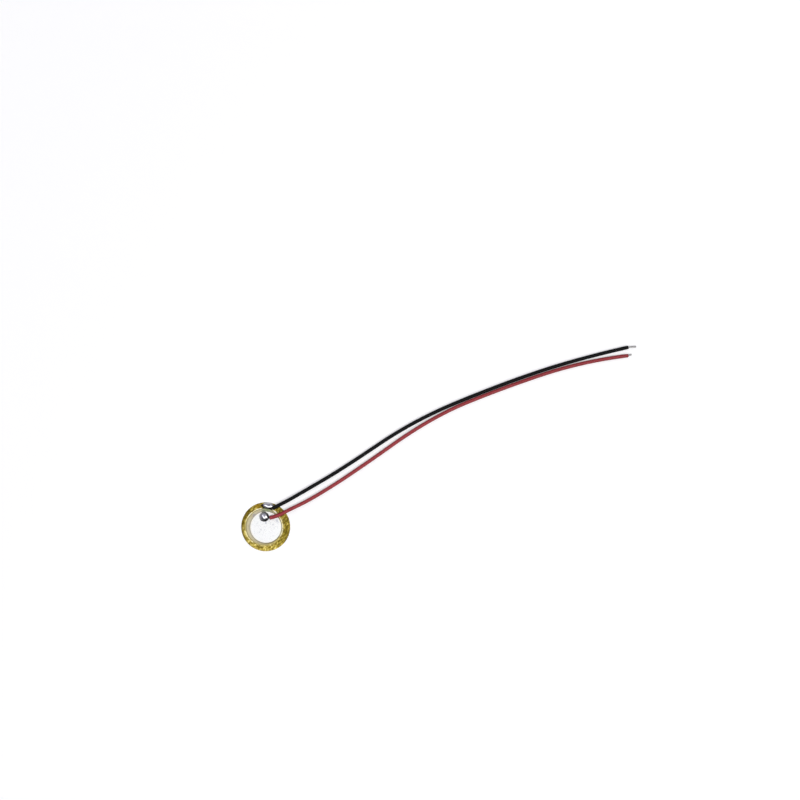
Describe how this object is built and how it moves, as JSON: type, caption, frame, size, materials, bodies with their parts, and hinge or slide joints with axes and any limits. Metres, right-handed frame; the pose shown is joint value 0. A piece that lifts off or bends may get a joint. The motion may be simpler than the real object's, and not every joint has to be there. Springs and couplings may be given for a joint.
{
  "type": "piezo disc",
  "caption": "Thin round piezo bender: brass plate, silvered ceramic disc bonded on it, and red and black leads soldered to silver and brass, with stripped ends.",
  "frame": {"origin": "centre of the brass plate's underside", "axes": "+Z out of the ceramic side; the leads leave over the rim towards +X and +Y"},
  "size_m": [0.0968, 0.0504, 0.0012],
  "materials": {
    "brass": "satin, lightly tarnished",
    "adhesive": "glossy, clear amber",
    "silver": "matt fired silver",
    "ceramic": "matt",
    "solder": "bright",
    "red_sleeve": "satin",
    "black_sleeve": "satin",
    "tinned_core": "dull tinned"
  },
  "bodies": {
    "root": {"brass_plate": "brass", "bond_film": "adhesive", "lower_electrode": "silver", "ceramic_disc": "ceramic", "upper_electrode": "silver", "signal_solder_joint": "solder", "ground_solder_joint": "solder", "red_insulation": "red_sleeve", "red_conductor": "tinned_core", "black_insulation": "black_sleeve", "black_conductor": "tinned_core"}
  },
  "joints": []
}
